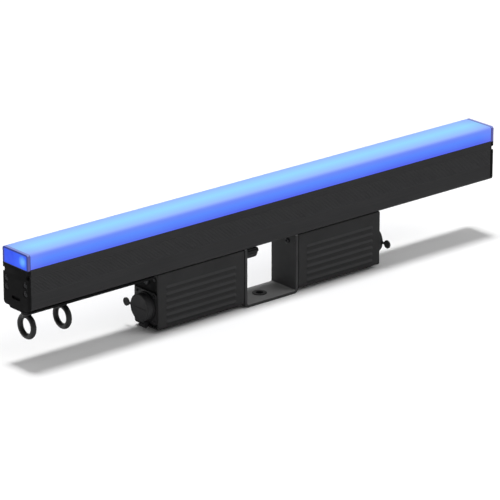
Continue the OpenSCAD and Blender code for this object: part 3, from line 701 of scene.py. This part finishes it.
def forged_eyebolt(box_low, box_high):
    """Ring, collar and shank fused, with the soft fillets of a drop forging."""
    bar = (box_high.x - box_low.x) / 2
    ring_r = 22 * MM - 4.75 * MM
    centre_z = box_low.z + 22 * MM
    collar_top = low("eyebolt_nuts").z - 0.1 * MM
    body = turned([(ring_r + 4.75 * MM * math.cos(a), 4.75 * MM * math.sin(a))
                   for a in [2 * math.pi * k / 28 for k in range(28)]], 96)
    x = (box_low.x + box_high.x) / 2
    ring = gather([(body, at(x, 0, centre_z) @ FACING_X)])
    z = centre_z + ring_r - 1 * MM
    neck = [(0, z), (7.4 * MM, z), (7.2 * MM, z + 2.6 * MM), (bar * 0.97, z + 4.2 * MM), (bar, z + 5 * MM),
            (bar, collar_top - 0.6 * MM), (bar - 0.6 * MM, collar_top), (5 * MM, collar_top),
            (5 * MM, box_high.z), (0, box_high.z)]
    fused = loose(carved(ring, [(turned(neck, 64), at(x, 0, 0))], "UNION"))
    remesh = fused.modifiers.new("remesh", "REMESH")
    remesh.mode = "VOXEL"
    remesh.voxel_size = 0.5 * MM
    smooth = fused.modifiers.new("smooth", "SMOOTH")
    smooth.factor = 0.5
    smooth.iterations = 8
    return evaluated(fused)


for node in ("eyebolt_outer", "eyebolt_inner"):
    piece(node + "_forged", forged_eyebolt(low(node), high(node)), "eyebolt_black", body=node,
          stands_for=[node], sharp=50)

EYEBOLT_X = [mid(node).x for node in ("eyebolt_outer", "eyebolt_inner")]
nut_low = low("eyebolt_nuts").z
nut_height = high("eyebolt_nuts").z - nut_low
piece("eyebolt_nuts_chamfered",
      gather([(chamfered_nut(9.8 * MM, nut_height, 5.08 * MM), at(x, 0, nut_low)) for x in EYEBOLT_X]),
      "screw_black", stands_for=["eyebolt_nuts"])


RIGGING_X = [-HALF_L + x * MM for x in (55, 145, 235)]


def rigging_plate():
    """Flat plate with both outer corners cut off."""
    start, end = low("rigging_plate"), high("rigging_plate")
    cut_x, cut_y = start.x + 8 * MM, end.y - 16 * MM
    outline = rounded([(cut_x, start.y, 3 * MM), (end.x, start.y, 2 * MM), (end.x, end.y, 2 * MM),
                       (cut_x, end.y, 3 * MM), (start.x, cut_y, 2 * MM), (start.x, -cut_y, 2 * MM)])
    holes = [circle(5.1 * MM, x) for x in EYEBOLT_X] + [circle(2.3 * MM, x, points=24) for x in RIGGING_X]
    return sheet([outline, *holes], end.z - start.z, 0.4 * MM, 3)


piece("rigging_plate_bevelled", rigging_plate(), "plate_black", stands_for=["rigging_plate"],
      place=at(0, 0, low("rigging_plate").z))
piece("rigging_screws_headed",
      gather([(screw(2 * MM, 12 * MM, 3.8 * MM, 2.4 * MM), at(x, 0, low("rigging_plate").z) @ FACING_DOWN)
              for x in RIGGING_X]), "screw_steel", stands_for=["rigging_screws"])

# ---------------------------------------------------------------- electronics cases

CASE_LOW = low("case_right").z
CASE_TOP = high("case_right").z
CASE_START = low("case_right").x
CASE_END = high("case_right").x
CASE_HALF = 30.5 * MM
CASE_WALL = 3 * MM
PLATE_X = low("socket_plate_right").x
RIB_PROUD = 1.2 * MM
RIB_HALF = 5 * MM
RIB_ENDS = (CASE_START + 16 * MM, CASE_END - 15 * MM)
RIB_HEIGHTS = [BODY_Z - (25.9 + 11.8 * i) * MM for i in range(6)]
CASE_SCREWS = [(x, side * 24.5 * MM) for x in (CASE_START + 10 * MM, CASE_END - 14 * MM) for side in (-1, 1)]
PLATE_SCREWS = [(21.5 * MM, SOCKET_Z - 21.5 * MM), (21.5 * MM, SOCKET_Z + 21.5 * MM), (20 * MM, 90 * MM)]


def rib_height(x, z):
    """How far the ribbed side stands out at a place: soft ridges with rounded ends."""
    along = min(max(x, RIB_ENDS[0] + RIB_HALF), RIB_ENDS[1] - RIB_HALF)
    away = min(math.hypot(x - along, z - rib) for rib in RIB_HEIGHTS) / RIB_HALF
    return RIB_PROUD * math.cos(math.pi / 2 * away) ** 2 if away < 1 else 0


def spread(start, end, step):
    count = max(1, round(abs(end - start) / step))
    return [start + (end - start) * i / count for i in range(count)]


def case_body():
    """Cast case as rings along x: round lower edges, rolled end rims and ribbed sides."""
    corner = 4 * MM
    z_side = spread(CASE_TOP, RIB_HEIGHTS[0] + RIB_HALF, 3 * MM)
    z_side += spread(RIB_HEIGHTS[0] + RIB_HALF, RIB_HEIGHTS[-1] - RIB_HALF, 0.7 * MM)
    z_side += spread(RIB_HEIGHTS[-1] - RIB_HALF, CASE_LOW + corner, 2 * MM)
    down = [(-CASE_HALF, z, -1, 0) for z in z_side]
    for k in range(7):
        a = math.pi / 2 * k / 6
        down.append((-CASE_HALF + corner * (1 - math.cos(a)), CASE_LOW + corner * (1 - math.sin(a)),
                     -math.cos(a), -math.sin(a)))
    loop = down + [(-y, z, -ny, nz) for y, z, ny, nz in reversed(down)]
    rim = 0.9 * MM
    stations = [(CASE_START + rim * (1 - math.cos(a)), rim * (1 - math.sin(a)))
                for a in [math.pi / 2 * k / 4 for k in range(5)]]
    xs = spread(CASE_START + 2 * MM, RIB_ENDS[0], 6 * MM)
    xs += spread(RIB_ENDS[0], RIB_ENDS[0] + RIB_HALF, 0.5 * MM)
    xs += spread(RIB_ENDS[0] + RIB_HALF, RIB_ENDS[1] - RIB_HALF, 20 * MM)
    xs += spread(RIB_ENDS[1] - RIB_HALF, RIB_ENDS[1], 0.5 * MM)
    xs += spread(RIB_ENDS[1], CASE_END - 2 * MM, 6 * MM)
    stations += [(x, 0) for x in xs]
    stations += [(CASE_END - rim * (1 - math.cos(a)), rim * (1 - math.sin(a)))
                 for a in [math.pi / 2 * k / 4 for k in range(4, -1, -1)]]
    bm = bmesh.new()
    rings = []
    for x, inset in stations:
        ring = []
        for y, z, ny, nz in loop:
            out = (rib_height(x, z) if nz == 0 else 0) - inset
            ring.append(bm.verts.new((x, y + ny * out, z + nz * out)))
        rings.append(ring)
    for this, after in zip(rings, rings[1:]):
        for i in range(len(loop)):
            bm.faces.new((this[i - 1], this[i], after[i], after[i - 1]))
    bm.faces.new(rings[0])
    bm.faces.new(rings[-1])
    bmesh.ops.recalc_face_normals(bm, faces=bm.faces)
    return bm


def case(side, grip_r):
    """The case with its cavity, screw columns, bosses and holes."""
    inner = CASE_HALF - CASE_WALL
    # The room is a hair smaller than the mouth, so that the two cuts share no wall
    room_y = inner - 0.05 * MM
    cavity_x = CASE_START + 4 * MM
    room = sheet([rounded([(cavity_x, -room_y, 1 * MM), (PLATE_X + 1 * MM, -room_y, 0),
                           (PLATE_X + 1 * MM, room_y, 0), (cavity_x, room_y, 1 * MM)], 3)], 0.1)
    mouth = sheet([panel(2 * inner, CASE_LOW + CASE_WALL, CASE_TOP - 3 * MM, 3 * MM, 7 * MM)], 8 * MM)
    hollow = carved(case_body(), [(room, at(0, 0, CASE_LOW + CASE_WALL + 0.05 * MM)),
                                  (mouth, at(PLATE_X, 0, 0) @ FACING_X)])
    columns = [(turned(disc(4 * MM, 91 * MM, 0.3 * MM), 32), at(x, y, CASE_LOW + 2.5 * MM))
               for x, y in CASE_SCREWS]
    whole = carved(hollow, [(gather(columns), SAME)], "UNION")
    # Clearance hole and chamfered counterbore of a case screw
    drill = [(0, -0.25 * MM), (4.6 * MM, -0.25 * MM), (4.1 * MM, 0.25 * MM), (4.1 * MM, 1.8 * MM),
             (2.1 * MM, 1.8 * MM), (2.1 * MM, 0.1), (0, 0.1)]
    drilled = [(turned(drill, 32), at(x, y, CASE_LOW)) for x, y in CASE_SCREWS]
    grip = [(turned(disc(grip_r, 8 * MM, 0), 32),
             at(CASE_START - 2 * MM, side * -10 * MM, BODY_Z - 13.5 * MM) @ FACING_X)]
    return carved(whole, [(gather(drilled), SAME), *grip])


for side, turn in SIDES.items():
    hand = 1 if side == "right" else -1
    piece("case_" + side + "_cast", case(hand, 3.08 * MM if hand > 0 else 4.08 * MM), "case_black",
          stands_for=["case_" + side], place=turn)

piece("case_screws_headed",
      gather([(screw(2 * MM, 97 * MM, 3.8 * MM, 1.6 * MM), turn @ at(x, y, CASE_LOW + 1.8 * MM) @ FACING_DOWN)
              for turn in SIDES.values() for x, y in CASE_SCREWS]),
      "screw_black", stands_for=["case_screws"])

# ---------------------------------------------------------------- socket plates and connectors

PLATE_T = high("socket_plate_right").x - PLATE_X
FLANGE_X = PLATE_X + PLATE_T
FLANGE_T = 3 * MM
COLLAR_X = FLANGE_X + FLANGE_T
BARREL_END = COLLAR_X + 10.5 * MM
BARREL_R = 20 * MM
PIN = Vector((COLLAR_X + 5 * MM, 0, 10 * MM))
KNUCKLE_HALF = 4.2 * MM
KNUCKLE_R = 4 * MM
VENT_Z = 83 * MM


def socket_plate():
    inner = CASE_HALF - CASE_WALL - 0.1 * MM
    outline = panel(2 * inner, CASE_LOW + CASE_WALL + 0.1 * MM, CASE_TOP - 3.1 * MM, 3 * MM, 7 * MM)
    holes = [circle(BARREL_R - 2 * MM, 0, SOCKET_Z), circle(4.1 * MM, 0, VENT_Z, 24)]
    holes += [circle(1.7 * MM, s * y, z, 16) for s in (-1, 1) for y, z in PLATE_SCREWS]
    return sheet([outline, *holes], PLATE_T, 0.3 * MM)


def hinge_ear(y):
    """Ear of the cap hinge, rounded round the pin, from the flange outwards."""
    base = COLLAR_X - 1.3 * MM
    outline = [(base, PIN.z + 7.3 * MM), (base, PIN.z)]
    outline += [(PIN.x + KNUCKLE_R * math.cos(a), PIN.z + KNUCKLE_R * math.sin(a))
                for a in [math.pi * (1.5 + k / 16) for k in range(13)]]
    outline += [(PIN.x, PIN.z + 7.3 * MM)]
    return sheet([outline, circle(1.5 * MM, PIN.x, PIN.z, 24)], 3.5 * MM, 0.3 * MM), \
        at(0, y + 3.5 * MM, 0) @ FACING_Y


def connector():
    half = 27 * MM
    screws = [circle(1.7 * MM, s * 21.5 * MM, SOCKET_Z + t * 21.5 * MM, 16) for s in (-1, 1) for t in (-1, 1)]
    flange = sheet([panel(2 * half, SOCKET_Z - half, SOCKET_Z + half, 5 * MM, 5 * MM),
                    circle(BARREL_R - 3 * MM, 0, SOCKET_Z), *screws], FLANGE_T, 0.5 * MM, 3)
    barrel = rounded([(BARREL_R - 4 * MM, -9.5 * MM, 0), (BARREL_R - 2.2 * MM, -9.5 * MM, 0.4 * MM),
                      (BARREL_R - 2.2 * MM, -1 * MM, 0), (24.5 * MM, -1 * MM, 0),
                      (24.5 * MM, 3 * MM, 0.8 * MM), (BARREL_R + 0.9 * MM, 3 * MM, 0.5 * MM),
                      (BARREL_R, 4.2 * MM, 0), (BARREL_R, 10.5 * MM, 0.7 * MM),
                      (BARREL_R - 4 * MM, 10.5 * MM, 0.5 * MM)], 4)
    placed = carved(gather([(flange, at(FLANGE_X, 0, 0) @ FACING_X)]),
                    [(turned(barrel, 72), at(COLLAR_X, 0, SOCKET_Z) @ FACING_X)], "UNION")
    ears = [hinge_ear(KNUCKLE_HALF + 0.3 * MM), hinge_ear(-KNUCKLE_HALF - 3.8 * MM)]
    return carved(placed, ears, "UNION")


def cap():
    """Rubber cap: a rounded shell with grip scallops, pull tab, arm and hinge knuckle."""
    back, face = low("cap_right").x - FLANGE_X, high("cap_right").x - FLANGE_X
    r, inside, floor = 23 * MM, BARREL_R + 0.6 * MM, BARREL_END + 0.6 * MM - FLANGE_X
    shell = rounded([(inside, back, 0.4 * MM), (r, back, 0.6 * MM), (r, face - 0.2 * MM, 1.6 * MM),
                     (r - 2.6 * MM, face, 0.5 * MM), (r - 3.6 * MM, face - 0.5 * MM, 0.3 * MM),
                     (0, face - 0.5 * MM, 0), (0, floor, 0), (inside, floor, 0.3 * MM)], 5)
    disc_mesh = turned(shell, 96)
    # Shallow grips round the rim
    for v in disc_mesh.verts:
        reach = math.hypot(v.co.x, v.co.y)
        if reach > r - 0.3 * MM and back + 1 * MM < v.co.z < face - 1 * MM:
            pull = 1 - 0.015 * max(0, math.cos(24 * math.atan2(v.co.y, v.co.x)))
            v.co.x *= pull
            v.co.y *= pull
    tab = turned(rounded([(0, 0, 0), (7 * MM, 0, 0.5 * MM), (7 * MM, 3 * MM, 0.7 * MM),
                          (5.6 * MM, 3 * MM, 0.3 * MM), (5.2 * MM, 2.3 * MM, 0.2 * MM), (0, 2.3 * MM, 0)], 3), 48)
    tab_x = face - 4.5 * MM
    neck = sheet([rounded([(-36 * MM, -2.6 * MM, 0), (-36 * MM, 2.6 * MM, 0), (-31 * MM, 1.8 * MM, 3 * MM),
                           (-26 * MM, 1.8 * MM, 3 * MM), (-21.5 * MM, 3.4 * MM, 0),
                           (-21.5 * MM, -3.4 * MM, 0), (-26 * MM, -1.8 * MM, 3 * MM),
                           (-31 * MM, -1.8 * MM, 3 * MM)], 4)], 2.4 * MM, 0.4 * MM)
    arm = sheet([[(-4 * MM, -31 * MM), (4 * MM, -31 * MM), (4 * MM, -21.2 * MM), (-4 * MM, -21.2 * MM)]],
                5.3 * MM, 0.5 * MM)
    knuckle = turned(disc(KNUCKLE_R, 2 * KNUCKLE_HALF, 0.4 * MM), 40)
    axis = at(0, PIN.z - SOCKET_Z, PIN.x - FLANGE_X) @ Matrix.Rotation(math.pi / 2, 4, "Y")
    whole = carved(disc_mesh, [(neck, at(0, 0, tab_x + 0.3 * MM)), (tab, at(-36 * MM, 0, tab_x)),
                               (arm, at(0, 0, back + 0.15 * MM)),
                               (knuckle, axis @ at(0, 0, -KNUCKLE_HALF))], "UNION")
    line = sheet([rounded([(-15 * MM, -0.8 * MM, 0.7 * MM), (15 * MM, -0.8 * MM, 0.7 * MM),
                           (15 * MM, 0.8 * MM, 0.7 * MM), (-15 * MM, 0.8 * MM, 0.7 * MM)], 4)], 2 * MM)
    bore = turned(disc(1.58 * MM, 12 * MM, 0), 24)
    return carved(whole, [(line, at(0, 0, face - 1.1 * MM)), (bore, axis @ at(0, 0, -6 * MM))])


def vent():
    """Pressure vent: a low mushroom head with a ring of slots under its brim."""
    head = turned(rounded([(0, -4 * MM, 0), (4 * MM, -4 * MM, 0.4 * MM), (4 * MM, 0, 0), (6 * MM, 0, 0.2 * MM),
                           (6 * MM, 1.4 * MM, 0.5 * MM), (4.4 * MM, 2.2 * MM, 0.6 * MM),
                           (2.4 * MM, 2.2 * MM, 0.3 * MM), (2 * MM, 1.8 * MM, 0), (0, 1.8 * MM, 0)], 3), 48)
    slot = sheet([rounded([(4.6 * MM, -0.5 * MM, 0.3 * MM), (7 * MM, -0.5 * MM, 0), (7 * MM, 0.5 * MM, 0),
                           (4.6 * MM, 0.5 * MM, 0.3 * MM)], 3)], 1 * MM)
    return carved(head, [(slot.copy(), Matrix.Rotation(math.tau * k / 8, 4, "Z") @ at(0, 0, 0.3 * MM))
                         for k in range(8)])


for side, turn in SIDES.items():
    piece("socket_plate_" + side + "_cut", socket_plate(), "plate_black",
          stands_for=["socket_plate_" + side], place=turn @ at(PLATE_X, 0, 0) @ FACING_X)
    piece("connector_" + side + "_moulded", connector(), "connector_black",
          stands_for=["connector_" + side], place=turn)
    piece("cap_" + side + "_moulded", cap(), "cap_rubber", body="cap_" + side,
          stands_for=["cap_" + side], place=turn @ at(FLANGE_X, 0, SOCKET_Z) @ FACING_X)

piece("vents_slotted", gather([(vent(), turn @ at(FLANGE_X, 0, VENT_Z) @ FACING_X)
                               for turn in SIDES.values()]), "connector_black", stands_for=["vents"])
piece("plate_screws_headed",
      gather([(screw(1.6 * MM, 8.5 * MM, 2.8 * MM, 1.3 * MM),
               turn @ at(FLANGE_X, s * PLATE_SCREWS[2][0], PLATE_SCREWS[2][1]) @ FACING_X)
              for turn in SIDES.values() for s in (-1, 1)]), "screw_black", stands_for=["plate_screws"])
piece("connector_screws_headed",
      gather([(screw(1.6 * MM, 11.5 * MM, 2.8 * MM, 1.8 * MM), turn @ at(COLLAR_X, s * y, z) @ FACING_X)
              for turn in SIDES.values() for s in (-1, 1) for y, z in PLATE_SCREWS[:2]]),
      "screw_black", stands_for=["connector_screws"])
pin = turned(disc(1.5 * MM, 16 * MM, 0.35 * MM), 28)
piece("cap_pins_rounded",
      gather([(pin.copy(), turn @ at(PIN.x, 8 * MM, PIN.z) @ FACING_Y) for turn in SIDES.values()]),
      "screw_black", stands_for=["cap_pins"])

# ---------------------------------------------------------------- yoke and clamp knob

YOKE_T = 5 * MM
LEG_OUT = high("yoke").x
LEG_IN = LEG_OUT - YOKE_T
YOKE_HALF = high("yoke").y
GRIP = Vector((0, -10 * MM, BODY_Z - 13.5 * MM))
DOWEL = Vector((0, -27 * MM, BODY_Z - 11 * MM))


def yoke():
    """Strip bent into a U, with its edges broken and its holes drilled."""
    strip = rounded([(-LEG_OUT, BODY_Z, 0), (-LEG_OUT, 0, 8 * MM), (LEG_OUT, 0, 8 * MM), (LEG_OUT, BODY_Z, 0),
                     (LEG_IN, BODY_Z, 0), (LEG_IN, YOKE_T, 3 * MM), (-LEG_IN, YOKE_T, 3 * MM),
                     (-LEG_IN, BODY_Z, 0)], 10)
    bent = sheet([strip], 2 * YOKE_HALF, 0.55 * MM, 3)
    placed = gather([(bent, at(0, YOKE_HALF, 0) @ FACING_Y)])
    drills = [(turned(disc(11 * MM, 8 * MM, 0), 64), at(0, 0, -1.5 * MM))]
    for x, hole in ((-LEG_OUT, 4.08 * MM), (LEG_IN, 3.08 * MM)):
        drills.append((turned(disc(hole, 8 * MM, 0), 32), at(x - 1.5 * MM, GRIP.y, GRIP.z) @ FACING_X))
        drills.append((turned(disc(1.5 * MM, 8 * MM, 0), 24), at(x - 1.5 * MM, DOWEL.y, DOWEL.z) @ FACING_X))
    return carved(placed, drills)


def bush():
    return turned(rounded([(6.5 * MM, 0, 0.4 * MM), (11 * MM, 0, 0.3 * MM), (11 * MM, YOKE_T, 0),
                           (12.3 * MM, YOKE_T, 0.15 * MM), (12.3 * MM, YOKE_T + 1 * MM, 0.5 * MM),
                           (6.5 * MM, YOKE_T + 1 * MM, 0.5 * MM)], 4), 72)


def knob():
    """Clamp knob: plain collar, twelve finger flutes, crowned end and a short nose."""
    length, r, nose_r, nose_end = 30 * MM, 10.5 * MM, 4.5 * MM, 37 * MM
    rings = [(0, r - 0.6 * MM, 0), (0.25 * MM, r - 0.2 * MM, 0), (0.7 * MM, r, 0), (4.2 * MM, r, 0),
             (5 * MM, r, 0.25), (6 * MM, r, 0.7), (7.5 * MM, r, 1)]
    rings += [(z, r, 1) for z in spread(9 * MM, length - 2 * MM, 4 * MM)]
    rings += [(length - 1.8 * MM, r, 1), (length - 1 * MM, r - 0.25 * MM, 1),
              (length - 0.35 * MM, r - 0.8 * MM, 0.9), (length, r - 1.7 * MM, 0.6),
              (length + 0.05 * MM, nose_r + 1 * MM, 0), (length + 0.4 * MM, nose_r + 0.3 * MM, 0),
              (length + 0.9 * MM, nose_r, 0), (nose_end - 1 * MM, nose_r, 0),
              (nose_end - 0.3 * MM, nose_r - 0.35 * MM, 0), (nose_end, nose_r - 1.1 * MM, 0)]
    bm = bmesh.new()
    loops = []
    steps = 144
    for z, radius, flute in rings:
        loop = []
        for k in range(steps):
            a = math.tau * k / steps
            dip = flute * 1.15 * MM * max(0, math.cos(12 * a)) ** 1.3
            loop.append(bm.verts.new(((radius - dip) * math.cos(a), (radius - dip) * math.sin(a), z)))
        loops.append(loop)
    for this, after in zip(loops, loops[1:]):
        for k in range(steps):
            bm.faces.new((this[k - 1], this[k], after[k], after[k - 1]))
    bm.faces.new(loops[0])
    bm.faces.new(loops[-1])
    bmesh.ops.recalc_face_normals(bm, faces=bm.faces)
    return carved(bm, [(turned(disc(4 * MM, 15 * MM, 0), 32), at(0, 0, -1 * MM))])


piece("yoke_bent", yoke(), "yoke_black", stands_for=["yoke"])
piece("yoke_bush_turned", bush(), "connector_black", stands_for=["yoke_bush"])
piece("yoke_bolt_headed", screw(3 * MM, 13 * MM, 5 * MM, 3 * MM), "screw_black", stands_for=["yoke_bolt"],
      place=at(LEG_IN, GRIP.y, GRIP.z) @ HALF_TURN @ FACING_X)
gap = CASE_START - LEG_OUT
piece("yoke_spacers_turned",
      gather([(turned(disc(8 * MM, gap, 0.25 * MM, 3.08 * MM), 48), at(LEG_OUT, GRIP.y, GRIP.z) @ FACING_X),
              (turned(disc(8 * MM, gap, 0.25 * MM, 4.08 * MM), 48),
               at(-CASE_START, GRIP.y, GRIP.z) @ FACING_X)]),
      "screw_steel", stands_for=["yoke_spacers"])
washer_t = high("knob_washer").x - low("knob_washer").x
piece("knob_washer_rounded", turned(disc(9 * MM, washer_t, 0.3 * MM, 4.08 * MM), 56), "screw_steel",
      body="knob_carriage", stands_for=["knob_washer"], place=at(-LEG_IN, GRIP.y, GRIP.z) @ FACING_X)
piece("knob_fluted", knob(), "knob_plastic", body="knob", stands_for=["knob"],
      place=at(-LEG_IN + washer_t, GRIP.y, GRIP.z) @ FACING_X)

# ---------------------------------------------------------------- floor and light


def add_floor():
    bm = bmesh.new()
    bmesh.ops.create_grid(bm, x_segments=2, y_segments=2, size=15)
    mesh = bpy.data.meshes.new("floor")
    bm.to_mesh(mesh)
    floor = bpy.data.objects.new("floor", mesh)
    scene.collection.objects.link(floor)
    paint = Shader("studio_floor", (0.9, 0.9, 0.9), roughness=0.9)
    wear = paint.noise(2, 3)
    paint.colour(paint.blend(paint.range(wear, 0.3, 0.7, 0, 1), (0.885, 0.885, 0.885), (0.915, 0.915, 0.915)))
    mesh.materials.append(paint.mat)


def add_light(name, kind, energy, direction, softness):
    data = bpy.data.lights.new(name, kind)
    data.energy = energy
    data.angle = math.radians(softness)
    light = bpy.data.objects.new(name, data)
    scene.collection.objects.link(light)
    light.rotation_mode = "QUATERNION"
    light.rotation_quaternion = Vector(direction).to_track_quat("-Z", "Y")


add_floor()
add_light("overhead", "SUN", 2.3, (0, -0.065, -1), 11)
add_light("right_fill", "SUN", 0.6, (-0.45, 0.53, -0.72), 40)
world = bpy.data.worlds.new("studio")
world.use_nodes = True
world.node_tree.nodes["Background"].inputs["Color"].default_value = (1, 1, 1, 1)
world.node_tree.nodes["Background"].inputs["Strength"].default_value = 0.38
scene.world = world
scene.view_settings.view_transform = "Standard"

# ---------------------------------------------------------------- scene update

bpy.context.view_layer.update()
